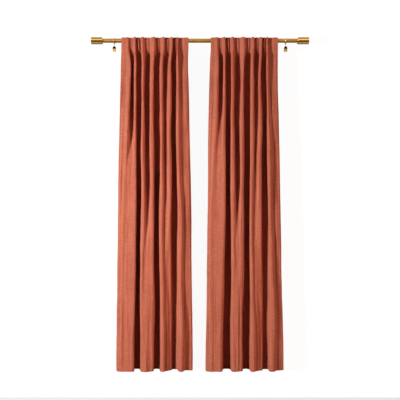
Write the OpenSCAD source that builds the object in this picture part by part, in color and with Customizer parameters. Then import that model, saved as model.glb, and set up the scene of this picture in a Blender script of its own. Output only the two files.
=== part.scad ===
// A pair of back-tab curtain panels on a telescoping rod with wall brackets and clip rings.
// The wall is the plane y = 0, the room is towards -Y, the rod runs along X at z = 0.

/* [Rod] */
// Length of rod between the two finials
rod_span = 1230; // [1170:10:1800]
// Outside diameter of the outer tube
rod_d = 25.4; // [19:0.1:31]
// Wall of both tubes
tube_wall = 0.8; // [0.6:0.1:2]
// Wall to rod axis
rod_reach = 90; // [84:1:130]

/* [Finials] */
// Diameter of a finial
finial_d = 44.5; // [42:0.5:60]
// Length of a finial
finial_len = 76; // [40:1:120]
// Length of the neck next to the rod
neck_len = 6; // [4:0.5:14]

/* [Brackets] */
// Rod end to bracket
bracket_inset = 135; // [133:1:137]
// Width of the arm and cup along the rod
cup_w = 10; // [8:0.5:11]
// Wall plate width
plate_w = 22; // [20:1:30]
// Wall plate height
plate_h = 75; // [66:1:110]
// Distance between the two screw holes of a plate
hole_gap = 50; // [44:1:56]
// Screw hole diameter
hole_d = 4.5; // [3.5:0.1:5.5]

/* [Curtains] */
// Width of a hanging panel along the rod
panel_w = 426; // [340:2:460]
// Height of a panel from header to hem
panel_drop = 2100; // [1200:1:2900]
// Header above the rod axis
header_rise = 15; // [14:0.5:30]
// Height of the header, from its top to its seam
header_h = 94; // [80:1:130]
// Depth of the folds at the header
fold_top = 40; // [24:1:60]
// Depth of the folds at the hem
fold_hem = 75; // [50:1:95]
// Thickness of the cloth with its folds pressed flat
cloth_t = 2; // [1.2:0.1:3]
// Width of a back tab
tab_w = 24; // [16:0.5:29]

/* [Clip rings] */
// Rod end to clip ring
ring_inset = 71; // [65:1:85]
// Wire of the ring
ring_wire = 5; // [4:0.1:7]
// Inside of the ring less the rod
ring_play = 6.6; // [4:0.1:12]
// Width of the clip
clip_w = 21.8; // [20:0.2:28]
// Height of the clip below its pin
jaw_h = 19; // [14:0.5:26]
// Height of the thumb tabs above the pin
thumb_h = 15; // [13:0.5:18]

/* [Hidden] */
$fn = 64;
part_gap = 0.3;
rod_r = rod_d / 2;
half_span = rod_span / 2;
bracket_x = half_span - bracket_inset;
ring_x = half_span - ring_inset;
left_x = -(half_span - 117);
right_x = half_span - 121 - panel_w;
inner_d = rod_d - 2 * tube_wall - 0.6;
cup_r = rod_r + part_gap;
tab_r = rod_r + part_gap;
tab_t = 1.2;
tab_low = header_h - header_rise;
back_y = -(rod_r + 2 * part_gap);
ring_r = (rod_d + ring_play + ring_wire) / 2;
ring_z = rod_r + 0.15 - (rod_d + ring_play) / 2;
eye_wire = 1.8;
eye_r = 3.1;
eye_z = ring_z - ring_r - ring_wire / 2 - eye_r - eye_wire / 2 + 0.5;
bail_z = eye_z - eye_r + eye_wire + 0.1;
pin_z = bail_z - 23;
pin_d = 2.4;

brass = [0.72, 0.52, 0.26];
dark_brass = [0.55, 0.38, 0.16];
steel = [0.62, 0.62, 0.64];
nylon = [0.2, 0.2, 0.2];
cloth = [0.71, 0.35, 0.26];
tab_cloth = [0.66, 0.32, 0.24];

// Fold lines along the width of a panel, as shares of panel_w, at the header and at the hem
ridge_top = [0.057, 0.202, 0.322, 0.483, 0.624, 0.765, 0.855, 0.963];
valley_top = [0.131, 0.258, 0.394, 0.555, 0.689, 0.809, 0.908];
ridge_hem = [-0.036, 0.176, 0.295, 0.458, 0.589, 0.712, 0.863, 1.035];
valley_hem = [0.07, 0.238, 0.375, 0.523, 0.65, 0.787, 0.95];
// Share of the fold depth that each ridge stands out at the header, and each valley goes back at the hem
ridge_out = [0.55, 1, 1, 1, 1, 1, 0.95, 0.4];
valley_in = [0.05, 1, 0.08, 1, 0.08, 0.72, 0.06];
edge_in = [0.42, 0.7];
// Height over which a valley that ends in a ridge fades out
fade = [900, 0, 1000, 0, 520, 0, 420];
flat_top = 20;
flat_hem = 10;
hem_back = 14;

function ease(t) = let (u = min(1, max(0, t))) u * u * (3 - 2 * u);
function mix(a, b, t) = a + (b - a) * t;
// Depth below the top edge, to a share of the way to the hem
function drift(d) = ease((d - 60) / (panel_drop - 60));
function deepen(d) = ease((d - 70) / 700);
front_top = back_y - cloth_t / 2;
front_hem = front_top - fold_hem + hem_back;

function ridge_at(i, d) = [
    panel_w * mix(ridge_top[i], ridge_hem[i], drift(d)),
    mix(front_top - fold_top * ridge_out[i], front_hem, deepen(d))];
function valley_y(i, d) = let (hem_y = front_hem + fold_hem * valley_in[i])
    mix(front_top, hem_y, fade[i] > 0 ? ease((d - header_h) / fade[i]) : drift(d));
function valley_at(i, d, side) = [
    panel_w * mix(valley_top[i], valley_hem[i], drift(d)) + side * mix(flat_top, flat_hem, drift(d)) / 2,
    valley_y(i, d)];
function edge_at(i, d) = [
    panel_w * (i == 0 ? mix(0, -0.05, drift(d)) : mix(1, 1.05, drift(d))),
    mix(front_top - 3, front_hem + fold_hem * edge_in[i], deepen(d))];

// Control points of a section, each [point, direction]
function section(d) = let (turn = 90 * drift(d)) concat(
    [[edge_at(0, d), [cos(turn), -sin(turn)]]],
    [for (i = [0:6]) each [
        [ridge_at(i, d), [1, 0]],
        [valley_at(i, d, -1), [1, 0]],
        [valley_at(i, d, 1), [1, 0]]]],
    [[ridge_at(7, d), [1, 0]], [edge_at(1, d), [cos(turn), sin(turn)]]]);

function curve_reach(p, q) = 0.9 * abs(q[0] - p[0]) + 1.1 * abs(q[1] - p[1]);
function curve_point(a, b, t) = let (m = curve_reach(a[0], b[0]))
    a[0] * (1 + t * t * (2 * t - 3)) + b[0] * (t * t * (3 - 2 * t))
    + a[1] * (m * t * (1 - t) * (1 - t)) - b[1] * (m * t * t * (1 - t));
function curve_slope(a, b, t) = let (m = curve_reach(a[0], b[0]))
    (b[0] - a[0]) * (6 * t * (1 - t)) + a[1] * (m * (1 - t) * (1 - 3 * t))
    + b[1] * (m * t * (3 * t - 2));
function side_point(a, b, t, off) = let (s = curve_slope(a, b, t), n = norm(s))
    curve_point(a, b, t) + off * [-s[1], s[0]] / n;

steps = 4;
function side_points(c, off) = concat(
    [for (i = [0:len(c) - 2]) for (j = [0:steps - 1])
        if (abs(c[i + 1][0][1] - c[i][0][1]) > 0.01 || j == 0) side_point(c[i], c[i + 1], j / steps, off)],
    [side_point(c[len(c) - 2], c[len(c) - 1], 1, off)]);
function backwards(v) = [for (i = [len(v) - 1:-1:0]) v[i]];
function row_points(d) = let (c = section(d))
    [for (p = concat(side_points(c, cloth_t / 2), backwards(side_points(c, -cloth_t / 2))))
        [p[0], p[1], header_rise - d]];

row_shares = [0, 0.018, 0.044, 0.08, 0.13, 0.2, 0.29, 0.4, 0.54, 0.7, 0.85, 1];
rows = [for (s = row_shares) row_points(s * panel_drop)];
loop = len(rows[0]);
half = loop / 2;
sheet_faces = concat(
    [for (r = [0:len(rows) - 2]) for (i = [0:loop - 1]) let (
        a = r * loop + i, b = r * loop + (i + 1) % loop, c = b + loop, d = a + loop)
        each [[a, b, c], [a, c, d]]],
    [for (i = [0:half - 2]) [loop - 1 - i, loop - 2 - i, i + 1, i]],
    [for (i = [0:half - 2]) let (o = (len(rows) - 1) * loop)
        [o + i, o + i + 1, o + loop - 2 - i, o + loop - 1 - i]]);

module panel(x) {
    color(cloth) translate([x, -rod_reach, 0])
        polyhedron(points = [for (r = rows) for (p = r) p], faces = sheet_faces, convexity = 12);
}

// Round bar between two points
module bar(p, q, r) {
    v = q - p;
    translate(p) rotate([0, acos(v[2] / norm(v)), atan2(v[1], v[0])]) cylinder(r = r, h = norm(v));
}

// Cylinder along X, centred on x
module xcyl(r, len) rotate([0, 90, 0]) cylinder(r = r, h = len, center = true);

// Strip that is sewn to the panel above and below the rod and runs over and behind it
module tab(x) {
    y0 = back_y + part_gap;
    low = [y0, 4 - tab_low];
    start = atan2(low[1], low[0]) + acos(tab_r / norm(low));
    inner = [for (i = [0:14]) 170 + (start - 170) * i / 14];
    outer = [for (i = [14:-1:0]) 146 + (start - 146) * i / 14];
    outline = concat(
        [[y0, tab_r * sin(170)]],
        [for (a = inner) tab_r * [cos(a), sin(a)]],
        [low, low - [0, 8], low + [tab_t, -8], low + [tab_t, -2.6]],
        [for (a = outer) (tab_r + tab_t) * [cos(a), sin(a)]],
        [[y0 + tab_t, header_rise - 3], [y0, header_rise - 3]]);
    color(tab_cloth) translate([x - tab_w / 2, -rod_reach, 0]) rotate([90, 0, 90])
        linear_extrude(tab_w) polygon(outline);
}

module tube(x0, x1, d) {
    difference() {
        translate([(x0 + x1) / 2, -rod_reach, 0]) xcyl(d / 2, x1 - x0);
        translate([(x0 + x1) / 2, -rod_reach, 0]) xcyl(d / 2 - tube_wall, x1 - x0 + 2);
    }
}

module rod_outer() { color(brass) tube(-half_span, half_span, rod_d); }
module rod_inner() { color(brass) tube(-half_span + 50, half_span, inner_d); }

// End cap with a neck, on a stud; side is -1 left and 1 right
module finial(side) {
    color(brass) translate([side * half_span, -rod_reach, 0]) rotate([0, side * 90, 0]) difference() {
        union() {
            cylinder(d = finial_d - 10, h = neck_len);
            translate([0, 0, neck_len - 2]) cylinder(d1 = finial_d - 10, d2 = finial_d, h = 2);
            translate([0, 0, neck_len]) cylinder(d = finial_d, h = finial_len - neck_len - 1.5);
            translate([0, 0, finial_len - 1.5]) cylinder(d1 = finial_d, d2 = finial_d - 3, h = 1.5);
        }
        translate([0, 0, -1]) cylinder(d = 6.2, h = 17);
    }
}

module stud(side) {
    color(steel) translate([side * (half_span + 3), -rod_reach, 0]) xcyl(3, 26);
}

module plug(side, d) {
    color(nylon) translate([side * (half_span - 12.5), -rod_reach, 0]) difference() {
        xcyl(d / 2 - tube_wall - 0.1, 25);
        translate([side * 5, 0, 0]) xcyl(3.1, 20);
    }
}

module wall_plate(x) {
    r = plate_w / 2;
    color(brass) translate([x, 0, 0]) difference() {
        union() {
            translate([-r, -4, r - plate_h / 2]) cube([plate_w, 4, plate_h - plate_w]);
            for (s = [-1, 1]) translate([0, 0, s * (plate_h / 2 - r)]) rotate([90, 0, 0]) cylinder(r = r, h = 4);
            rotate([90, 0, 0]) cylinder(d = 18, h = 12);
        }
        for (s = [-1, 1]) translate([0, 1, s * hole_gap / 2]) rotate([90, 0, 0]) {
            cylinder(d = hole_d, h = 6);
            translate([0, 0, 3]) cylinder(d1 = hole_d, d2 = hole_d + 4.2, h = 2.1);
        }
        translate([0, -4, 0]) rotate([90, 0, 0]) cylinder(d = 9.2, h = 9);
    }
}

// Round arm with an open cup that the rod lies in, and a boss under it for the lock screw
module bracket_arm(x) {
    cup_out = cup_r + 3.2;
    color(brass) translate([x, -rod_reach, 0]) difference() {
        union() {
            intersection() {
                xcyl(cup_out, cup_w);
                translate([-cup_w, -50, -50]) cube([2 * cup_w, 100, 50]);
            }
            translate([-cup_w / 2, cup_r, -1]) cube([cup_w, 3.2, 9]);
            translate([0, 0, -cup_out - 3]) cylinder(d = 9, h = 5);
            translate([0, rod_reach - 4, 0]) rotate([90, 0, 0]) cylinder(d = 9, h = rod_reach - 4 - cup_r);
        }
        xcyl(cup_r, cup_w + 10);
        translate([0, 0, -cup_out - 4]) cylinder(d = 4.4, h = 12);
    }
}

module lock_screw(x) {
    tip = -rod_r - 0.2;
    head = -cup_r - 3.2 - 3.6;
    color(dark_brass) translate([x, -rod_reach, 0]) {
        translate([0, 0, head - 0.5]) cylinder(d = 4, h = tip - head + 0.5);
        translate([0, 0, head - 5]) cylinder(d = 10, h = 5);
        translate([0, 0, head - 6]) cylinder(d1 = 8, d2 = 10, h = 1);
    }
}

// Round ring over the rod with a small eye under it
module ring(x) {
    color(brass) translate([x, -rod_reach, 0]) rotate([0, 90, 0]) {
        translate([-ring_z, 0, 0]) rotate_extrude() translate([ring_r, 0]) circle(d = ring_wire);
        translate([-eye_z, 0, 0]) rotate_extrude() translate([eye_r, 0]) circle(d = eye_wire);
    }
}

// Wire that hangs in the eye and holds the pin of the clip
module bail(x) {
    color(brass) translate([x, -rod_reach, 0]) difference() {
        union() {
            bar([-4, 0, bail_z], [4, 0, bail_z], 0.9);
            for (s = [-1, 1]) {
                translate([s * 4, 0, bail_z]) sphere(r = 0.9);
                bar([s * 4, 0, bail_z], [s * 6, 0, pin_z + 1.8], 0.9);
                translate([s * 6, 0, pin_z]) xcyl(2.4, 1.8);
            }
        }
        translate([0, 0, pin_z]) xcyl(pin_d / 2 + 0.15, 30);
    }
}

// Stamped jaw: side is -1 for the front one and 1 for the back one
module jaw(x, side, w) {
    close = atan((4 - 0.6) / jaw_h);
    flare = 25;
    dome = w / 2 - 1.4;
    color(brass) translate([x, -rod_reach, pin_z]) difference() {
        union() {
            translate([0, side * 4, 0]) xcyl(0.5, w);
            translate([0, side * 4, 0]) rotate([side * -close, 0, 0]) difference() {
                translate([-w / 2, -0.5, -jaw_h]) cube([w, 1, jaw_h]);
                translate([-2.5, -2, -jaw_h - 1]) cube([5, 4, 4.5]);
            }
            translate([0, side * 4, 0]) rotate([side * -flare, 0, 0]) intersection() {
                translate([-dome, -0.5, 0]) cube([2 * dome, 1, thumb_h]);
                union() {
                    translate([0, 1, thumb_h - dome]) rotate([90, 0, 0]) cylinder(r = dome, h = 2);
                    translate([-dome, -1, -1]) cube([2 * dome, 2, thumb_h - dome + 1]);
                }
            }
            for (s = [-1, 1]) translate([s * (w / 2 - 0.5), 0, 0]) {
                xcyl(3.1, 1);
                translate([-0.5, side < 0 ? -4 : 0, -3.1]) cube([1, 4, 5]);
            }
        }
        xcyl(pin_d / 2 + 0.1, w + 10);
    }
}

module pin(x) {
    color(steel) translate([x, -rod_reach, pin_z]) {
        xcyl(pin_d / 2, clip_w + 1);
        for (s = [-1, 1]) translate([s * (clip_w / 2 + 0.6), 0, 0]) xcyl(1.9, 0.8);
    }
}

module spring(x) {
    color(steel) translate([x, -rod_reach, pin_z]) {
        rotate([0, 90, 0]) rotate_extrude()
            for (i = [-3:3]) translate([2.3, 0.8 * i]) circle(d = 0.9, $fn = 24);
        bar([2.4, -2.3, -0.3], [2.4, -2.3 - 10 * sin(25), 10 * cos(25)], 0.45);
        bar([-2.4, 2.3, -0.3], [-2.4, 2.3 + 10 * sin(25), 10 * cos(25)], 0.45);
    }
}

// Place of a back tab, counted from the fixed outer edge of each panel
function left_tab_x(i) = left_x + panel_w * valley_top[i - 1];
function right_tab_x(i) = right_x + panel_w * valley_top[7 - i];

module left_panel() { panel(left_x); }
module right_panel() { panel(right_x); }
module left_tab_1() { tab(left_tab_x(1)); }
module left_tab_2() { tab(left_tab_x(2)); }
module left_tab_3() { tab(left_tab_x(3)); }
module left_tab_4() { tab(left_tab_x(4)); }
module left_tab_5() { tab(left_tab_x(5)); }
module left_tab_6() { tab(left_tab_x(6)); }
module left_tab_7() { tab(left_tab_x(7)); }
module right_tab_1() { tab(right_tab_x(1)); }
module right_tab_2() { tab(right_tab_x(2)); }
module right_tab_3() { tab(right_tab_x(3)); }
module right_tab_4() { tab(right_tab_x(4)); }
module right_tab_5() { tab(right_tab_x(5)); }
module right_tab_6() { tab(right_tab_x(6)); }
module right_tab_7() { tab(right_tab_x(7)); }
module left_finial() { finial(-1); }
module right_finial() { finial(1); }
module left_stud() { stud(-1); }
module right_stud() { stud(1); }
module left_plug() { plug(-1, rod_d); }
module right_plug() { plug(1, inner_d); }
module left_plate() { wall_plate(-bracket_x); }
module right_plate() { wall_plate(bracket_x); }
module left_arm() { bracket_arm(-bracket_x); }
module right_arm() { bracket_arm(bracket_x); }
module left_screw() { lock_screw(-bracket_x); }
module right_screw() { lock_screw(bracket_x); }
module left_ring() { ring(-ring_x); }
module right_ring() { ring(ring_x); }
module left_bail() { bail(-ring_x); }
module right_bail() { bail(ring_x); }
module left_front_jaw() { jaw(-ring_x, -1, clip_w); }
module right_front_jaw() { jaw(ring_x, -1, clip_w); }
module left_back_jaw() { jaw(-ring_x, 1, clip_w - 2.4); }
module right_back_jaw() { jaw(ring_x, 1, clip_w - 2.4); }
module left_pin() { pin(-ring_x); }
module right_pin() { pin(ring_x); }
module left_spring() { spring(-ring_x); }
module right_spring() { spring(ring_x); }

rod_outer();
rod_inner();
left_finial();
right_finial();
left_stud();
right_stud();
left_plug();
right_plug();
left_plate();
right_plate();
left_arm();
right_arm();
left_screw();
right_screw();
left_panel();
right_panel();
left_tab_1();
left_tab_2();
left_tab_3();
left_tab_4();
left_tab_5();
left_tab_6();
left_tab_7();
right_tab_1();
right_tab_2();
right_tab_3();
right_tab_4();
right_tab_5();
right_tab_6();
right_tab_7();
left_ring();
right_ring();
left_bail();
right_bail();
left_front_jaw();
right_front_jaw();
left_back_jaw();
right_back_jaw();
left_pin();
right_pin();
left_spring();
right_spring();
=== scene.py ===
"""Window curtains on a rod: two linen-look panels on back tabs, brass rod, brackets and clip rings."""
import math
import bpy
import numpy as np
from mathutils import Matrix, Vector

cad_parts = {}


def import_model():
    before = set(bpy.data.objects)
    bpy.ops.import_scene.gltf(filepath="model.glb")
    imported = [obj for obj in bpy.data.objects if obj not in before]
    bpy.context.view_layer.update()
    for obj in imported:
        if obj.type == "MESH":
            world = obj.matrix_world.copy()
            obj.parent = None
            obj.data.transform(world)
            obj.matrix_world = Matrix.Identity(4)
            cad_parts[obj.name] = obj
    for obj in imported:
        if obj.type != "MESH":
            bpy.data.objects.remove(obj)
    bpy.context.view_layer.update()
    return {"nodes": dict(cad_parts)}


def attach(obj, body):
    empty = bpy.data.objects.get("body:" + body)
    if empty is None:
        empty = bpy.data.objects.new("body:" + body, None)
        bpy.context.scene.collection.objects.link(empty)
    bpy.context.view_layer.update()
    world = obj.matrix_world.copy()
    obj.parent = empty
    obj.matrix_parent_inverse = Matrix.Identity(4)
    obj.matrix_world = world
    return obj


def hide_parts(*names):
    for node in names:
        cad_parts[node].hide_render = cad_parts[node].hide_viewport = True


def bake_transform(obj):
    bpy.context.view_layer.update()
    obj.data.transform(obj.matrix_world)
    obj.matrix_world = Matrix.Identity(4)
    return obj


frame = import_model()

scene = bpy.context.scene

# ---------------------------------------------------------------- sizes, in metres, as in the CAD
ROD_R = 0.0127
ROD_Y = -0.090
PANEL_W, DROP = 0.426, 2.100
RISE, HEADER = 0.015, 0.094
PANEL_X = {"left": -0.498, "right": 0.068}
FLAT_W, FLAT_H = 1.067, 2.100
CLOTH_T = 0.0011
TAB_W, TAB_T = 0.024, 0.0010
BACK_Y = -(ROD_R + 0.0006)            # the cloth's back, before the rod's axis
FLAT_TOP, FLAT_HEM = 0.024, 0.010     # width of the flat floor of a valley, at the header and at the hem
STITCH, THREAD_R = 0.0055, 0.00042

# ---------------------------------------------------------------- camera, light, floor
CAMERA_DISTANCE, VIEW_WIDTH, VIEW_Z = 3.7, 2.544, -1.0131
FLOOR_Z, WALL_Y = -2.30, 0.002
cam = bpy.data.objects.new("camera", bpy.data.cameras.new("camera"))
scene.collection.objects.link(cam)
cam.data.sensor_width = 36
cam.data.lens = 36 * CAMERA_DISTANCE / VIEW_WIDTH
cam.location = (0.0, ROD_Y - CAMERA_DISTANCE, VIEW_Z)
cam.rotation_euler = (math.radians(90), 0, 0)
cam.data.clip_end = 50
scene.camera = cam


def nodes_of(block):
    block.use_nodes = True
    t = block.node_tree
    t.nodes.clear()
    return t, lambda kind, **kw: _node(t, kind, kw)


def _node(t, kind, kw):
    n = t.nodes.new(kind)
    for k, v in kw.items():
        setattr(n, k, v)
    return n


def ramp_of(new, t, src, stops):
    r = new("ShaderNodeValToRGB")
    e = r.color_ramp.elements
    e[0].position, e[0].color = stops[0][0], (*stops[0][1], 1)
    e[1].position, e[1].color = stops[-1][0], (*stops[-1][1], 1)
    for p, c in stops[1:-1]:
        x = e.new(p)
        x.color = (*c, 1)
    t.links.new(src, r.inputs["Fac"])
    return r.outputs["Color"]


def world():
    """White behind the object, dim light all round, and a paler studio for the metal to reflect."""
    w = bpy.data.worlds.new("studio")
    scene.world = w
    t, new = nodes_of(w)
    L = t.links.new
    tc, sep, mp = new("ShaderNodeTexCoord"), new("ShaderNodeSeparateXYZ"), new("ShaderNodeMapRange")
    mp.inputs["From Min"].default_value, mp.inputs["From Max"].default_value = -1, 1
    L(tc.outputs["Generated"], sep.inputs[0])
    L(sep.outputs["Z"], mp.inputs["Value"])

    def surround(stops):
        bg = new("ShaderNodeBackground")
        L(ramp_of(new, t, mp.outputs["Result"], [(p, (c, c, c)) for p, c in stops]), bg.inputs["Color"])
        return bg.outputs[0]

    lp, out, white = new("ShaderNodeLightPath"), new("ShaderNodeOutputWorld"), new("ShaderNodeBackground")
    white.inputs["Color"].default_value = (1, 1, 1, 1)
    dim = surround([(0.0, 0.03), (0.42, 0.022), (0.55, 0.022), (0.72, 0.08), (1.0, 0.25)])
    pale = surround([(0.0, 0.75), (0.13, 0.18), (0.37, 0.14), (0.54, 0.36),
                     (0.62, 2.3), (0.69, 2.1), (0.80, 0.45), (1.0, 0.75)])
    for ray, seen in (("Is Glossy Ray", pale), ("Is Camera Ray", white.outputs[0])):
        m = new("ShaderNodeMixShader")
        L(lp.outputs[ray], m.inputs[0])
        L(dim, m.inputs[1])
        L(seen, m.inputs[2])
        dim = m.outputs[0]
    L(dim, out.inputs["Surface"])


def sun(name, direction, energy, angle, color=(1, 1, 1)):
    """Wide soft fill that leaves no highlight on the metal."""
    d = bpy.data.lights.new(name, "SUN")
    d.energy, d.angle, d.color = energy, math.radians(angle), color
    o = bpy.data.objects.new(name, d)
    o.rotation_mode = "QUATERNION"
    o.rotation_quaternion = Vector(direction).to_track_quat("-Z", "Y")
    o.visible_glossy = False
    scene.collection.objects.link(o)


def panel_light(name, place, aim, power, size, spread, color):
    d = bpy.data.lights.new(name, "AREA")
    d.energy, d.size, d.color, d.spread = power, size, color, math.radians(spread)
    o = bpy.data.objects.new(name, d)
    o.location = place
    o.rotation_mode = "QUATERNION"
    o.rotation_quaternion = (Vector(aim) - Vector(place)).to_track_quat("-Z", "Y")
    scene.collection.objects.link(o)


def plane(name, corners, material):
    m = bpy.data.meshes.new(name)
    m.from_pydata(corners, [], [(0, 1, 2, 3)])
    o = bpy.data.objects.new(name, m)
    o.data.materials.append(material)
    scene.collection.objects.link(o)
    return o


def stage():
    """Pale floor, and a white wall that takes the soft shadow and is clear from behind."""
    floor = bpy.data.materials.new("pale_floor")
    t, new = nodes_of(floor)
    b, em = new("ShaderNodeBsdfDiffuse"), new("ShaderNodeEmission")
    both, out = new("ShaderNodeAddShader"), new("ShaderNodeOutputMaterial")
    b.inputs["Color"].default_value = (0.45, 0.45, 0.45, 1)
    em.inputs["Strength"].default_value = 0.58
    t.links.new(b.outputs[0], both.inputs[0])
    t.links.new(em.outputs[0], both.inputs[1])
    t.links.new(both.outputs[0], out.inputs["Surface"])
    wall = bpy.data.materials.new("white_wall")
    t, new = nodes_of(wall)
    b, tr = new("ShaderNodeBsdfDiffuse"), new("ShaderNodeBsdfTransparent")
    em, both = new("ShaderNodeEmission"), new("ShaderNodeAddShader")
    geo, mix_, out = new("ShaderNodeNewGeometry"), new("ShaderNodeMixShader"), new("ShaderNodeOutputMaterial")
    b.inputs["Color"].default_value = (0.075, 0.075, 0.075, 1)
    em.inputs["Color"].default_value = (1, 1, 1, 1)
    em.inputs["Strength"].default_value = 0.955
    t.links.new(b.outputs[0], both.inputs[0])
    t.links.new(em.outputs[0], both.inputs[1])
    t.links.new(geo.outputs["Backfacing"], mix_.inputs[0])
    t.links.new(both.outputs[0], mix_.inputs[1])
    t.links.new(tr.outputs[0], mix_.inputs[2])
    t.links.new(mix_.outputs[0], out.inputs["Surface"])
    z = FLOOR_Z
    o = plane("floor", [(-9, -9, z), (9, -9, z), (9, 9, z), (-9, 9, z)], floor)
    o.visible_diffuse = o.visible_glossy = False
    o = plane("wall", [(-4, WALL_Y, z), (4, WALL_Y, z), (4, WALL_Y, 2.2), (-4, WALL_Y, 2.2)], wall)
    o.visible_diffuse = o.visible_glossy = o.visible_transmission = o.visible_shadow = False


world()
stage()
panel_light("key", (-5.0, -4.1, -0.90), (-0.12, -0.09, -1.0), 87, 1.05, 75, (1.0, 0.985, 0.965))
sun("side", (-0.82, 0.55, -0.15), 1.95, 25, (1.0, 0.66, 0.54))
sun("back", (0.35, -0.85, -0.35), 1.6, 40)
scene.view_settings.view_transform = "Standard"
scene.view_settings.look = "None"
scene.view_settings.gamma = 0.85


# ---------------------------------------------------------------- materials
def principled(name):
    m = bpy.data.materials.new(name)
    t, new = nodes_of(m)
    b, out = new("ShaderNodeBsdfPrincipled"), new("ShaderNodeOutputMaterial")
    t.links.new(b.outputs[0], out.inputs["Surface"])
    return m, t, new, b


def cloth_material(name, base, deep, light, sheen):
    """Slubby linen-look plain weave, laid out on the cloth's own flat coordinates in metres."""
    m, t, new, b = principled(name)
    L = t.links.new
    uv = new("ShaderNodeUVMap")
    uv.uv_map = "flat"

    def noise(scale, detail, rough):
        mp = new("ShaderNodeMapping")
        mp.inputs["Scale"].default_value = (*scale, 1)
        n = new("ShaderNodeTexNoise")
        n.inputs["Scale"].default_value = 1
        n.inputs["Detail"].default_value = detail
        n.inputs["Roughness"].default_value = rough
        L(uv.outputs[0], mp.inputs["Vector"])
        L(mp.outputs[0], n.inputs["Vector"])
        return n.outputs["Fac"]

    def math_(op, a, c):
        n = new("ShaderNodeMath", operation=op)
        for i, x in enumerate((a, c)):
            if isinstance(x, (int, float)):
                n.inputs[i].default_value = x
            else:
                L(x, n.inputs[i])
        return n.outputs[0]

    def wave(direction, per_m):
        mp = new("ShaderNodeMapping")
        mp.inputs["Scale"].default_value = (per_m, per_m, 1)
        w = new("ShaderNodeTexWave", wave_type="BANDS", bands_direction=direction, wave_profile="SIN")
        w.inputs["Scale"].default_value = 0.31416
        w.inputs["Distortion"].default_value = 0.9
        w.inputs["Detail"].default_value = 2
        w.inputs["Detail Scale"].default_value = 0.2
        L(uv.outputs[0], mp.inputs["Vector"])
        L(mp.outputs[0], w.inputs["Vector"])
        return w.outputs["Fac"]

    warp, weft = wave("X", 1100), wave("Y", 950)
    weft_slub = noise((22, 620), 4, 0.62)      # long thin thick-and-thin yarns across
    warp_slub = noise((560, 16), 4, 0.6)       # and down the panel
    patch = noise((9, 7), 3, 0.5)
    fleck = noise((1500, 1500), 1, 0.5)
    thick = noise((13, 165), 4, 0.68)          # now and then a thick weft yarn
    slub = math_("ADD", math_("MULTIPLY", weft_slub, 0.65), math_("MULTIPLY", warp_slub, 0.35))
    tone = math_("ADD", math_("MULTIPLY", slub, 0.50), math_("MULTIPLY", patch, 0.12))
    tone = math_("ADD", tone, math_("MULTIPLY", fleck, 0.14))
    tone = math_("ADD", tone, math_("MULTIPLY", thick, 0.24))
    col = ramp_of(new, t, tone, [(0.30, deep), (0.5, base), (0.70, light)])
    L(col, b.inputs["Base Color"])
    rough = new("ShaderNodeMapRange")
    rough.inputs["To Min"].default_value, rough.inputs["To Max"].default_value = 0.78, 0.95
    L(slub, rough.inputs["Value"])
    L(rough.outputs[0], b.inputs["Roughness"])
    height = math_("ADD", math_("MULTIPLY", math_("MULTIPLY", warp, weft), 0.35), math_("MULTIPLY", slub, 0.9))
    bump = new("ShaderNodeBump")
    bump.inputs["Strength"].default_value = 0.55
    bump.inputs["Distance"].default_value = 0.0012
    L(height, bump.inputs["Height"])
    L(bump.outputs[0], b.inputs["Normal"])
    b.inputs["Sheen Weight"].default_value = sheen
    b.inputs["Sheen Roughness"].default_value = 0.45
    b.inputs["Sheen Tint"].default_value = (1.0, 0.50, 0.36, 1)
    b.inputs["Specular IOR Level"].default_value = 0.03
    return m


def metal_material(name, base, dark, rough, axis, lines, bump=0.25, aniso=0.0, metallic=1.0):
    """Brushed or polished metal: fine lines round the axis and blotchy tarnish."""
    m, t, new, b = principled(name)
    L = t.links.new
    tc = new("ShaderNodeTexCoord")

    def noise(scale):
        mp = new("ShaderNodeMapping")
        mp.inputs["Scale"].default_value = scale
        n = new("ShaderNodeTexNoise")
        n.inputs["Scale"].default_value = 1
        n.inputs["Detail"].default_value = 4
        n.inputs["Roughness"].default_value = 0.6
        L(tc.outputs["Object"], mp.inputs["Vector"])
        L(mp.outputs[0], n.inputs["Vector"])
        return n.outputs["Fac"]

    fine = {"X": (lines, 40, 40), "Y": (40, lines, 40), "Z": (40, 40, lines), "ALONG": (6, lines, lines)}
    brush = noise(fine[axis])
    blotch = noise((14, 30, 30))
    mixn = new("ShaderNodeMath", operation="MULTIPLY")
    L(brush, mixn.inputs[0])
    mixn.inputs[1].default_value = 0.45
    addn = new("ShaderNodeMath", operation="MULTIPLY_ADD")
    L(blotch, addn.inputs[0])
    addn.inputs[1].default_value = 0.55
    L(mixn.outputs[0], addn.inputs[2])
    col = ramp_of(new, t, addn.outputs[0], [(0.39, dark), (0.62, base)])
    L(col, b.inputs["Base Color"])
    mr = new("ShaderNodeMapRange")
    mr.inputs["To Min"].default_value, mr.inputs["To Max"].default_value = rough * 0.75, rough * 1.3
    L(addn.outputs[0], mr.inputs["Value"])
    L(mr.outputs[0], b.inputs["Roughness"])
    bp = new("ShaderNodeBump")
    bp.inputs["Strength"].default_value = bump
    bp.inputs["Distance"].default_value = 0.0002
    L(brush, bp.inputs["Height"])
    L(bp.outputs[0], b.inputs["Normal"])
    b.inputs["Metallic"].default_value = metallic
    b.inputs["Anisotropic"].default_value = aniso
    return m


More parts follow.
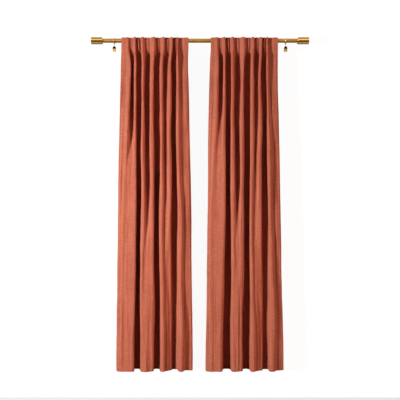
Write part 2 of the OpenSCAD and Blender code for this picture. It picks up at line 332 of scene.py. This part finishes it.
# cloths: middle, deep and light colour, sheen; metals: bright and tarnished colour, roughness, brushing
LINEN = cloth_material("linen", (0.52, 0.183, 0.120), (0.31, 0.092, 0.054), (0.73, 0.294, 0.206), 0.20)
TAB_LINEN = cloth_material("tab_linen", (0.50, 0.172, 0.112), (0.30, 0.086, 0.050), (0.70, 0.276, 0.192), 0.18)
THREAD = cloth_material("thread", (0.58, 0.180, 0.112), (0.46, 0.125, 0.075), (0.72, 0.26, 0.17), 0.12)
BRASS = metal_material("brushed_brass", (0.72, 0.40, 0.115), (0.56, 0.29, 0.07), 0.36, "X", 700, 0.20, 0.3)
FINIAL = metal_material("satin_brass", (0.82, 0.52, 0.18), (0.66, 0.40, 0.125), 0.17, "ALONG", 500, 0.10)
BRACKET = metal_material("coated_brass", (0.60, 0.36, 0.12), (0.45, 0.25, 0.075), 0.38, "Y", 300, 0.15)
SCREW = metal_material("screw_brass", (0.58, 0.36, 0.12), (0.36, 0.20, 0.06), 0.34, "Z", 1200, 0.5)
CLIP = metal_material("polished_brass", (0.88, 0.63, 0.29), (0.68, 0.44, 0.16), 0.28, "Z", 600, 0.08)
STEEL = metal_material("plain_steel", (0.58, 0.58, 0.60), (0.40, 0.40, 0.42), 0.28, "X", 900, 0.2)
NYLON = metal_material("black_nylon", (0.030, 0.030, 0.032), (0.018, 0.018, 0.020), 0.45, "X", 300, 0.1,
                       metallic=0.0)


def paint_dome_shade(m, z0, z1):
    """Painted shade and painted dark reflection on the dome above a bright lip: the base colour turns dark
    between two heights.
    """
    t = m.node_tree
    b = next(n for n in t.nodes if n.type == "BSDF_PRINCIPLED")
    tc, sep = t.nodes.new("ShaderNodeTexCoord"), t.nodes.new("ShaderNodeSeparateXYZ")
    mr, dark = t.nodes.new("ShaderNodeMapRange"), t.nodes.new("ShaderNodeMixRGB")
    mr.inputs["From Min"].default_value, mr.inputs["From Max"].default_value = z0, z1
    t.links.new(tc.outputs["Object"], sep.inputs[0])
    t.links.new(sep.outputs["Z"], mr.inputs["Value"])
    t.links.new(mr.outputs["Result"], dark.inputs["Fac"])
    t.links.new(b.inputs["Base Color"].links[0].from_socket, dark.inputs["Color1"])
    # painted shade and painted dark reflection: this dark colour stands in for the shade on the dome and the
    # dark surroundings it reflects
    dark.inputs["Color2"].default_value = (0.060, 0.022, 0.008, 1)
    t.links.new(dark.outputs[0], b.inputs["Base Color"])


# the front jaw's brass, with painted shade and painted dark reflection on its dome between the two heights
# below
JAW = metal_material("jaw_brass_painted_dome_shade", (0.88, 0.62, 0.27), (0.70, 0.45, 0.16), 0.40, "Z", 600, 0.08)
paint_dome_shade(JAW, -0.0535, -0.0500)

for node, material in (
    [(n, BRASS) for n in ("rod_outer", "rod_inner")]
    + [(s + "_finial", FINIAL) for s in ("left", "right")]
    + [(s + n, BRACKET) for s in ("left", "right") for n in ("_plate", "_arm")]
    + [(s + "_screw", SCREW) for s in ("left", "right")]
    + [(s + n, CLIP) for s in ("left", "right") for n in ("_ring", "_bail", "_back_jaw")]
    + [(s + n, STEEL) for s in ("left", "right") for n in ("_stud", "_pin", "_spring")]
    + [(s + "_front_jaw", JAW) for s in ("left", "right")]
    + [(s + "_plug", NYLON) for s in ("left", "right")]
):
    o = frame["nodes"][node]
    for i in range(len(o.material_slots)):
        o.material_slots[i].material = material


# ---------------------------------------------------------------- the folds of a panel
def ease(t):
    t = min(1.0, max(0.0, t))
    return t * t * (3 - 2 * t)


def mix(a, b, t):
    return a + (b - a) * t


FRONT_TOP = BACK_Y - 0.001
# Depth under the top edge of each level, how far the front and the back of the folds lie before the
# rod's front there, and along it the places of the ridges (R), valleys (V), shelf (S) and edges (E)
# as shares of the panel's width. OUT is each one's share of the way from the back to the front.
LEVELS = [0.055, 0.152, 0.308, 0.528, 0.840, 1.216, 1.591, 2.067]
FRONT = [0.022, 0.041, 0.046, 0.052, 0.058, 0.061, 0.061, 0.061]
BACK = [0.0, 0.0, -0.002, -0.004, -0.008, -0.011, -0.013, -0.014]
LEFT = {
    "E0": [0.0, -0.001, -0.008, -0.02, -0.03, -0.042, -0.053, -0.062],
    "S0": [0.03, 0.067, 0.065, 0.041, 0.016, -0.003, -0.018, -0.025],
    "R0": [0.093, 0.136, 0.13, 0.11, 0.071, 0.04, 0.021, 0.014],
    "V1": [0.147, 0.161, 0.161, 0.156, 0.144, 0.1, 0.079, 0.072],
    "R1": [0.205, 0.222, 0.226, 0.225, 0.225, 0.215, 0.204, 0.174],
    "V2": [0.252, 0.25, 0.261, 0.262, 0.26, 0.252, 0.245, 0.226],
    "R2": [0.318, 0.334, 0.332, 0.33, 0.329, 0.327, 0.318, 0.324],
    "V3": [0.385, 0.384, 0.384, 0.381, 0.381, 0.381, 0.371, 0.379],
    "R3": [0.49, 0.481, 0.473, 0.468, 0.469, 0.471, 0.47, 0.465],
    "V4": [0.548, 0.519, 0.519, 0.52, 0.524, 0.522, 0.52, 0.52],
    "R4": [0.632, 0.609, 0.602, 0.6, 0.601, 0.602, 0.613, 0.628],
    "V5": [0.677, 0.657, 0.652, 0.655, 0.66, 0.659, 0.677, 0.669],
    "R5": [0.757, 0.734, 0.727, 0.726, 0.729, 0.732, 0.728, 0.726],
    "V6": [0.795, 0.767, 0.772, 0.776, 0.779, 0.787, 0.793, 0.782],
    "R6": [0.833, 0.84, 0.843, 0.846, 0.862, 0.876, 0.888, 0.894],
    "V7": [0.877, 0.87, 0.886, 0.915, 0.936, 0.952, 0.948, 0.962],
    "R7": [0.935, 0.969, 0.977, 0.984, 0.999, 1.014, 1.021, 1.036],
    "E1": [0.998, 0.991, 1.003, 1.012, 1.03, 1.043, 1.049, 1.056],
}
RIGHT = {
    "E0": [0.0, -0.011, -0.022, -0.034, -0.04, -0.049, -0.059, -0.077],
    "S0": [0.03, 0.045, 0.04, 0.014, -0.01, -0.031, -0.042, -0.045],
    "R0": [0.09, 0.099, 0.093, 0.075, 0.031, 0.001, -0.013, -0.013],
    "V1": [0.143, 0.153, 0.151, 0.142, 0.116, 0.082, 0.06, 0.053],
    "R1": [0.205, 0.201, 0.202, 0.201, 0.199, 0.186, 0.151, 0.127],
    "V2": [0.252, 0.257, 0.26, 0.256, 0.255, 0.252, 0.255, 0.236],
    "R2": [0.325, 0.314, 0.313, 0.314, 0.318, 0.323, 0.329, 0.332],
    "V3": [0.388, 0.393, 0.398, 0.393, 0.394, 0.389, 0.389, 0.382],
    "R3": [0.49, 0.476, 0.469, 0.461, 0.457, 0.459, 0.441, 0.435],
    "V4": [0.555, 0.541, 0.54, 0.533, 0.533, 0.538, 0.53, 0.524],
    "R4": [0.632, 0.612, 0.603, 0.597, 0.596, 0.601, 0.61, 0.616],
    "V5": [0.677, 0.675, 0.674, 0.665, 0.663, 0.646, 0.656, 0.678],
    "R5": [0.75, 0.734, 0.722, 0.723, 0.724, 0.727, 0.726, 0.726],
    "V6": [0.797, 0.78, 0.781, 0.792, 0.806, 0.815, 0.822, 0.816],
    "R6": [0.836, 0.833, 0.833, 0.837, 0.85, 0.87, 0.885, 0.899],
    "V7": [0.878, 0.882, 0.894, 0.916, 0.935, 0.958, 0.983, 1.014],
    "R7": [0.935, 0.966, 0.972, 0.982, 0.995, 1.012, 1.029, 1.059],
    "E1": [0.998, 0.994, 0.996, 1.007, 1.021, 1.039, 1.048, 1.08],
}
OUT = {
    "E0": [0.1, 0.35, 0.4, 0.45, 0.5, 0.5, 0.5, 0.5],
    "S0": [0.3, 0.45, 0.5, 0.62, 0.8, 0.9, 0.9, 0.9],
    "R0": [0.6, 0.9, 0.95, 0.95, 0.97, 1, 1, 1],
    "V1": [0, 0, 0.05, 0.42, 0.84, 0.96, 0.98, 0.98],
    "R1": [1, 1, 1, 1, 1, 1, 0.99, 0.97],
    "V2": [0, 0, 0, 0, 0, 0, 0, 0],
    "R2": [1, 1, 1, 1, 1, 1, 1, 1],
    "V3": [0, 0.05, 0.05, 0.12, 0.38, 0.74, 0.97, 0.99],
    "R3": [1, 1, 1, 1, 1, 0.97, 0.92, 0.84],
    "V4": [0, 0, 0, 0, 0, 0, 0, 0],
    "R4": [1, 1, 1, 1, 1, 1, 1, 1],
    "V5": [0, 0.12, 0.28, 0.48, 0.6, 0.71, 0.78, 0.76],
    "R5": [1, 1, 1, 1, 0.95, 0.84, 0.7, 0.56],
    "V6": [0, 0, 0, 0.05, 0.1, 0.15, 0.15, 0.1],
    "R6": [1, 1, 1, 1, 1, 1, 1, 1],
    "V7": [0, 0.3, 0.42, 0.53, 0.58, 0.6, 0.59, 0.56],
    "R7": [0.25, 0.38, 0.45, 0.5, 0.53, 0.54, 0.52, 0.5],
    "E1": [0.2, 0.24, 0.3, 0.38, 0.42, 0.42, 0.4, 0.35],
}


def track(values, d):
    """Smooth curve through the values of the levels, held level beyond the first and the last."""
    x, v = np.array(LEVELS), np.array(values, float)
    m = np.gradient(v, x)
    m[0] = m[-1] = 0
    d = min(max(d, x[0]), x[-1])
    i = min(int(np.searchsorted(x, d, side="right")) - 1, len(x) - 2)
    h = x[i + 1] - x[i]
    t = (d - x[i]) / h
    return (v[i] * (1 + t * t * (2 * t - 3)) + v[i + 1] * t * t * (3 - 2 * t)
            + m[i] * h * t * (1 - t) ** 2 - m[i + 1] * h * t * t * (1 - t))


def section(side, d):
    """Control points (x, y) and directions of the cloth's cross-section at depth d under its top edge."""
    table = LEFT if side == "left" else RIGHT
    front, back = track(FRONT, d), track(BACK, d)
    low = ease((d - 0.06) / (DROP - 0.06))
    turn = math.radians(80) * low
    pts, dirs = [], []

    def at(key, shift=0.0):
        out = back + (front - back) * track(OUT[key], d)
        return (PANEL_W * track(table[key], d) + shift, FRONT_TOP - out)

    half = mix(FLAT_TOP, FLAT_HEM, low) / 2
    shallow = mix(1, 0.6, ease((d - HEADER) / 0.1))
    ends = {"E0": (math.cos(turn), -math.sin(turn)), "E1": (math.cos(turn), math.sin(turn))}
    for key in table:
        if key[0] == "V":
            wide = half * (1 if key in ("V2", "V4", "V6") else 0.6 if key == "V1" else shallow)
            pts += [at(key, -wide), at(key, wide)]
            dirs += [(1, 0), (1, 0)]
        else:
            pts.append(at(key))
            dirs.append(ends.get(key, (1, 0)))
    return np.array(pts), np.array(dirs, float)


def hermite(p, q, a, b, t):
    m = 0.9 * abs(q[0] - p[0]) + 1.1 * abs(q[1] - p[1])
    t = t[:, None]
    return (p * (1 + t * t * (2 * t - 3)) + q * (t * t * (3 - 2 * t))
            + a * (m * t * (1 - t) ** 2) - b * (m * t * t * (1 - t)))


def fold_grid(side, cols, rows):
    """Points [rows, cols, 2] of the folds and the depth of each row. Columns keep to their own threads."""
    down = np.linspace(0, 1, rows)
    depths = DROP * (0.35 * down + 0.65 * down ** 1.25)
    dense = np.linspace(0, 1, 41)
    lengths, curves = [], []
    for d in depths:
        p, v = section(side, d)
        segs = [hermite(p[i], p[i + 1], v[i], v[i + 1], dense) for i in range(len(p) - 1)]
        curves.append(segs)
        lengths.append([np.linalg.norm(np.diff(s, axis=0), axis=1).sum() for s in segs])
    lengths = np.array(lengths)
    share = lengths.mean(0)
    knots = np.concatenate([[0], np.cumsum(share)])
    total = knots[-1]
    at = np.linspace(0, total, cols)
    grid = np.zeros((rows, cols, 2))
    which = np.clip(np.searchsorted(knots, at, side="right") - 1, 0, len(share) - 1)
    local = (at - knots[which]) / share[which]
    for r, segs in enumerate(curves):
        for i in range(len(share)):
            sel = which == i
            if sel.any():
                s = segs[i]
                a = np.concatenate([[0], np.cumsum(np.linalg.norm(np.diff(s, axis=0), axis=1))])
                a /= a[-1]
                grid[r, sel, 0] = np.interp(local[sel], a, s[:, 0])
                grid[r, sel, 1] = np.interp(local[sel], a, s[:, 1])
    return grid, depths


def smooth_noise(shape, cells, amount, seed):
    """Smooth random field on a grid."""
    g = np.random.default_rng(seed).standard_normal((cells[0] + 3, cells[1] + 3))

    def along(a, n, axis):
        a = np.moveaxis(a, axis, 0)
        x = np.linspace(1, a.shape[0] - 2.001, n)
        i = x.astype(int)
        f = (x - i).reshape(-1, *([1] * (a.ndim - 1)))
        p0, p1, p2, p3 = a[i - 1], a[i], a[i + 1], a[np.minimum(i + 2, a.shape[0] - 1)]
        r = 0.5 * (2 * p1 + (p2 - p0) * f + (2 * p0 - 5 * p1 + 4 * p2 - p3) * f ** 2
                   + (3 * p1 - p0 - 3 * p2 + p3) * f ** 3)
        return np.moveaxis(r, 0, axis)

    return amount * along(along(g, shape[0], 0), shape[1], 1)


def normals_of(P):
    du, dv = np.gradient(P, axis=1), np.gradient(P, axis=0)
    n = np.cross(dv, du)
    return n / np.maximum(np.linalg.norm(n, axis=2, keepdims=True), 1e-12)


def sheet_mesh(name, P, UV, front, back, material):
    """A thin closed sheet from a grid of points: front and back are how far each skin lies along the normal."""
    rows, cols = P.shape[:2]
    n = normals_of(P)
    A, B = P + n * front, P + n * back
    verts = np.concatenate([A.reshape(-1, 3), B.reshape(-1, 3)])
    idx = np.arange(rows * cols).reshape(rows, cols)
    q = np.stack([idx[:-1, :-1], idx[1:, :-1], idx[1:, 1:], idx[:-1, 1:]], -1).reshape(-1, 4)
    k = rows * cols
    faces = [q, q[:, ::-1] + k]
    loop = np.concatenate([idx[0, :-1], idx[:-1, -1], idx[-1, :0:-1], idx[:0:-1, 0]])
    nxt = np.roll(loop, -1)
    faces.append(np.stack([loop, nxt, nxt + k, loop + k], -1))
    faces = np.concatenate(faces)
    m = bpy.data.meshes.new(name)
    m.vertices.add(len(verts))
    m.vertices.foreach_set("co", verts.astype(np.float32).ravel())
    m.loops.add(len(faces) * 4)
    m.loops.foreach_set("vertex_index", faces.astype(np.int32).ravel())
    m.polygons.add(len(faces))
    m.polygons.foreach_set("loop_start", np.arange(0, len(faces) * 4, 4, dtype=np.int32))
    m.update(calc_edges=True)
    m.validate()
    flat = np.concatenate([UV.reshape(-1, 2)] * 2)
    layer = m.uv_layers.new(name="flat")
    layer.data.foreach_set("uv", flat[faces.ravel()].astype(np.float32).ravel())
    m.polygons.foreach_set("use_smooth", np.ones(len(faces), bool))
    m.set_sharp_from_angle(angle=math.radians(65))
    m.materials.append(material)
    o = bpy.data.objects.new(name, m)
    scene.collection.objects.link(o)
    return o


# Small puckers of the header between its tabs, as shares of the width, and how far each stands out
PUCKERS = {
    "left": [(0.062, -0.004), (0.258, 0.010), (0.392, 0.006), (0.545, 0.005),
             (0.685, 0.007), (0.757, -0.004), (0.802, 0.005)],
    "right": [(0.050, -0.004), (0.262, 0.009), (0.404, 0.007), (0.560, 0.006),
              (0.690, 0.007), (0.750, -0.004), (0.798, 0.008)],
}
TABS = [0.131, 0.258, 0.394, 0.555, 0.689, 0.809, 0.908]


def bell(x, centre, width):
    return np.exp(-((x - centre) / width) ** 2)


def panel_points(side, cols, rows):
    """Points of the cloth's middle on a grid, and each one's place on the flat cloth."""
    grid, depths = fold_grid(side, cols, rows)
    u, d = grid[..., 0] / PANEL_W, depths[:, None]
    top = np.clip(1 - (d - 0.075) / 0.035, 0, 1)
    top = top * top * (3 - 2 * top)
    y = grid[..., 1].copy()
    for at, out in PUCKERS[side]:
        y -= out * bell(u, at + 0.006 * np.sin(d * 40 + at * 90), 0.015) * top
    gather = np.clip(-(y - BACK_Y) / 0.04, 0, 1)
    y -= 0.0040 * bell(d, HEADER + 0.024, 0.016) * gather        # the cloth swells under the header's seam
    y -= 0.0022 * bell(d, HEADER - 0.018, 0.012) * gather        # and over it
    y += 0.0026 * bell(d, HEADER, 0.0060) * gather
    y += 0.0009 * bell(d, HEADER, 0.0022)
    P = np.stack([PANEL_X[side] + grid[..., 0], ROD_Y + y, np.broadcast_to(RISE - d, u.shape)], -1)
    n = normals_of(P)
    seed = 11 if side == "left" else 23
    soft = np.clip((d - 0.05) / 0.2, 0.15, 1)
    wave = (smooth_noise((rows, cols), (7, 26), 0.0012, seed)
            + smooth_noise((rows, cols), (26, 60), 0.0004, seed + 1)
            + smooth_noise((rows, cols), (70, 110), 0.00022, seed + 2))
    P = P + n * (wave * soft)[..., None]
    across = np.broadcast_to(np.linspace(0, FLAT_W, cols), u.shape)
    UV = np.stack([across, np.broadcast_to(-d, u.shape)], -1).copy()
    return P, UV, depths


def settle(side, P, depths, step=3, frames=9, most=0.004):
    """Settle the folds by a short cloth simulation, held along the header. No point moves more than most."""
    r = np.unique(np.append(np.arange(0, P.shape[0], step), P.shape[0] - 1))
    c = np.unique(np.append(np.arange(0, P.shape[1], step), P.shape[1] - 1))
    Q = P[np.ix_(r, c)]
    idx = np.arange(len(r) * len(c)).reshape(len(r), len(c))
    quads = np.stack([idx[:-1, :-1], idx[1:, :-1], idx[1:, 1:], idx[:-1, 1:]], -1).reshape(-1, 4)
    m = bpy.data.meshes.new("settling")
    m.from_pydata(Q.reshape(-1, 3).tolist(), [], quads.tolist())
    o = bpy.data.objects.new("settling", m)
    scene.collection.objects.link(o)
    pin = o.vertex_groups.new(name="pin")
    for i in range(len(r)):
        if depths[r[i]] < HEADER + 0.01:
            pin.add(idx[i].tolist(), 1.0, "REPLACE")
    cloth = o.modifiers.new("cloth", "CLOTH")
    k = cloth.settings
    k.quality, k.mass, k.air_damping = 6, 0.004, 2.0
    k.tension_stiffness = k.compression_stiffness = 25
    k.shear_stiffness, k.bending_stiffness = 8, 0.35
    k.tension_damping = k.compression_damping = k.shear_damping = 12
    k.bending_damping = 1.5
    k.vertex_group_mass = "pin"
    cloth.collision_settings.use_collision = False
    cloth.collision_settings.use_self_collision = False
    cloth.point_cache.frame_start, cloth.point_cache.frame_end = 1, frames
    scene.frame_start, scene.frame_end = 1, frames
    for f in range(1, frames + 1):
        scene.frame_set(f)
    got = o.evaluated_get(bpy.context.evaluated_depsgraph_get()).data
    S = np.empty(len(got.vertices) * 3, np.float32)
    got.vertices.foreach_get("co", S)
    move = S.reshape(Q.shape).astype(float) - Q
    o.modifiers.clear()
    bpy.data.objects.remove(o)
    scene.frame_set(1)
    move[..., 2] = 0
    tap = np.exp(-np.linspace(-2, 2, 13) ** 2)
    padded = np.pad(move, ((6, 6), (0, 0), (0, 0)), "edge")
    fade = np.clip((depths[r] - HEADER) / 0.2, 0, 1)[:, None, None]
    move = sum(w * padded[i:i + len(r)] for i, w in enumerate(tap / tap.sum())) * fade
    side_room = np.minimum(np.arange(len(c)), np.arange(len(c))[::-1]) / (0.10 * len(c))
    move[..., 0] *= np.clip(side_room, 0, 1)[None]
    size = np.linalg.norm(move, axis=2, keepdims=True)
    move *= np.minimum(1, most / np.maximum(size, 1e-9))
    out = np.zeros_like(P)
    for a in range(3):
        part = np.stack([np.interp(np.arange(P.shape[1]), c, row) for row in move[..., a]])
        out[..., a] = np.stack([np.interp(np.arange(P.shape[0]), r, part[:, j]) for j in range(P.shape[1])], 1)
    print(side, "settled, before the cap: mean move %.4f, most %.4f" % (size.mean(), size.max()))
    return P + out


def dress(o, node=None):
    """Hide the CAD node the piece stands in for, if one is given, and bake the piece's placement into its mesh.
    """
    if node:
        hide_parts(node)
    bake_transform(o)


def lay(P, rows, cols, r, c, off):
    """Point on the grid at fractional row r and column c, moved out along the cloth's normal."""
    n = normals_of(P)
    i, j = np.clip(r.astype(int), 0, rows - 2), np.clip(c.astype(int), 0, cols - 2)
    f, g = (r - i)[:, None], (c - j)[:, None]

    def mixed(A):
        near, far = (A[i, k] * (1 - f) + A[i + 1, k] * f for k in (j, j + 1))
        return near * (1 - g) + far * g
    return mixed(P) + mixed(n) * off, mixed(n)


def stitches(name, P, depths, lines, off):
    """Rows of sewn stitches lying on the cloth. Each line is (x0, d0, x1, d1) on the flat cloth."""
    rows, cols = P.shape[:2]
    verts, faces, flat = [], [], []
    for x0, d0, x1, d1 in lines:
        length = math.hypot(x1 - x0, d1 - d0)
        count = int(length / STITCH)
        t = (np.arange(count)[:, None] + np.array([0.12, 0.82])[None]) / count
        x, d = x0 + (x1 - x0) * t, d0 + (d1 - d0) * t
        c = x / FLAT_W * (cols - 1)
        r = np.interp(d, depths, np.arange(rows))
        a, na = lay(P, rows, cols, r[:, 0], c[:, 0], off)
        b, nb = lay(P, rows, cols, r[:, 1], c[:, 1], off)
        along = b - a
        along /= np.maximum(np.linalg.norm(along, axis=1, keepdims=True), 1e-9)
        across = np.cross(along, na) * THREAD_R
        up = na * THREAD_R * (1 if off > 0 else -1)
        ring = [(a, 0.5), (a + (b - a) * 0.25, 1.0), (a + (b - a) * 0.75, 1.0), (b, 0.5)]
        block = []
        for p, s in ring:
            block += [p - across * s - up * 0.6, p + across * s - up * 0.6,
                      p + across * s * 0.6 + up * s, p - across * s * 0.6 + up * s]
        V = np.stack(block, 1).reshape(-1, 3)
        start = sum(len(v) for v in verts)
        verts.append(V)
        for k in range(count):
            o = start + k * 16
            for q in range(3):
                m = o + q * 4
                for e in range(4):
                    faces.append((m + e, m + (e + 1) % 4, m + 4 + (e + 1) % 4, m + 4 + e))
            faces += [(o + 3, o + 2, o + 1, o), (o + 12, o + 13, o + 14, o + 15)]
        flat.append(np.stack([x, -d], -1).reshape(count, 2, 2)[:, [0] * 8 + [1] * 8].reshape(-1, 2))
    V, F = np.concatenate(verts), np.array(faces)
    m = bpy.data.meshes.new(name)
    m.from_pydata(V.tolist(), [], F.tolist())
    layer = m.uv_layers.new(name="flat")
    layer.data.foreach_set("uv", np.concatenate(flat)[F.ravel()].astype(np.float32).ravel())
    m.materials.append(THREAD)
    o = bpy.data.objects.new(name, m)
    scene.collection.objects.link(o)
    dress(o)
    return o


def panel(side, cols=321, rows=150):
    P, UV, depths = panel_points(side, cols, rows)
    P = settle(side, P, depths)
    if side == "right":
        UV += (2.7, 0.9)
    t = CLOTH_T / 2
    body = sheet_mesh(side + "_curtain", P, UV, t, -t, LINEN)
    dress(body, side + "_panel")

    def col(x):
        return int(round(x / FLAT_W * (cols - 1)))

    def row(d):
        return int(np.argmin(abs(depths - d)))

    back, gap = -t - 0.0002, CLOTH_T * 0.9
    facing_end, hem_start, side_hem = row(HEADER + 0.006), row(DROP - 0.100), col(0.038)
    for name, r0, r1, c0, c1 in (
            ("header_facing", 0, facing_end, 0, cols - 1),
            ("bottom_hem", hem_start, rows - 1, 0, cols - 1),
            ("outer_side_hem", facing_end, hem_start, 0, side_hem),
            ("inner_side_hem", facing_end, hem_start, cols - 1 - side_hem, cols - 1)):
        sub, uv = P[r0:r1 + 1, c0:c1 + 1], UV[r0:r1 + 1, c0:c1 + 1] + (0.31, 0.17)
        o = sheet_mesh("%s_%s" % (side, name), sub, uv, back, back - gap, LINEN)
        dress(o)
    face, rear = t + 0.00012, back - gap - 0.00012
    header_line = (0.004, HEADER, FLAT_W - 0.004, HEADER)
    stitches(side + "_header_stitches", P, depths, [header_line], face)
    stitches(side + "_hem_stitches", P, depths, [
        header_line, (0.004, DROP - 0.097, FLAT_W - 0.004, DROP - 0.097),
        (0.035, HEADER + 0.01, 0.035, DROP - 0.104),
        (FLAT_W - 0.035, HEADER + 0.01, FLAT_W - 0.035, DROP - 0.104)], rear)


def tab(side, k):
    """A strip of doubled cloth, sewn behind the header, that runs over and behind the rod."""
    x = PANEL_X[side] + PANEL_W * (TABS[k - 1] if side == "left" else TABS[7 - k])
    r, y0 = ROD_R + 0.0003 + TAB_T / 2, BACK_Y + 0.0003 + TAB_T / 2
    low = 0.004 - (HEADER - RISE)
    start = math.atan2(low, y0) + math.acos((ROD_R + 0.0003) / math.hypot(low, y0))
    path = [(y0, RISE - 0.003 - 0.0045 * i / 3) for i in range(4)]
    path += [(r * math.cos(a), r * math.sin(a)) for a in np.linspace(math.radians(150), start, 26)]
    end = np.array([y0, low])
    last = np.array(path[-1])
    sag = np.array([0.0009, -0.0003])
    path += [tuple(last + (end - last) * t + sag * math.sin(math.pi * t)) for t in np.linspace(0.08, 1, 12)]
    path += [(y0, low - 0.008 * t) for t in np.linspace(0.25, 1, 4)]
    path = np.array(path)
    arc = np.concatenate([[0], np.cumsum(np.linalg.norm(np.diff(path, axis=0), axis=1))])
    rows, cols = len(path), 13
    w = np.linspace(-1, 1, cols)
    g = np.random.default_rng(900 + k + (50 if side == "right" else 0))
    lean, pinch = g.normal(0, 0.0006), g.uniform(0.0, 0.0010)
    P = np.zeros((rows, cols, 3))
    free = np.sin(np.pi * np.clip(arc / arc[-1], 0, 1))[:, None]
    P[..., 0] = x + w[None] * (TAB_W / 2 - pinch * free) + lean * free
    P[..., 1] = ROD_Y + path[:, :1] + 0.0004 * free * (w[None] ** 2) * np.sin(arc / arc[-1] * 9)[:, None]
    P[..., 2] = path[:, 1:]
    UV = np.stack([np.broadcast_to(w * TAB_W / 2 + 0.05 * k, (rows, cols)),
                   np.broadcast_to(arc[:, None] + (3 if side == "left" else 5), (rows, cols))], -1)
    o = sheet_mesh("%s_back_tab_%d" % (side, k), P, UV, TAB_T / 2, -TAB_T / 2, TAB_LINEN)
    bev = o.modifiers.new("soft", "BEVEL")
    bev.width, bev.segments, bev.limit_method, bev.angle_limit = 0.0003, 2, "ANGLE", math.radians(50)
    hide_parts("%s_tab_%d" % (side, k))
    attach(o, "rod" if k == 1 else side + "_lead" if k == 7 else "%s_tab_%d_body" % (side, k))


for side in ("left", "right"):
    panel(side)
    for k in range(1, 8):
        tab(side, k)
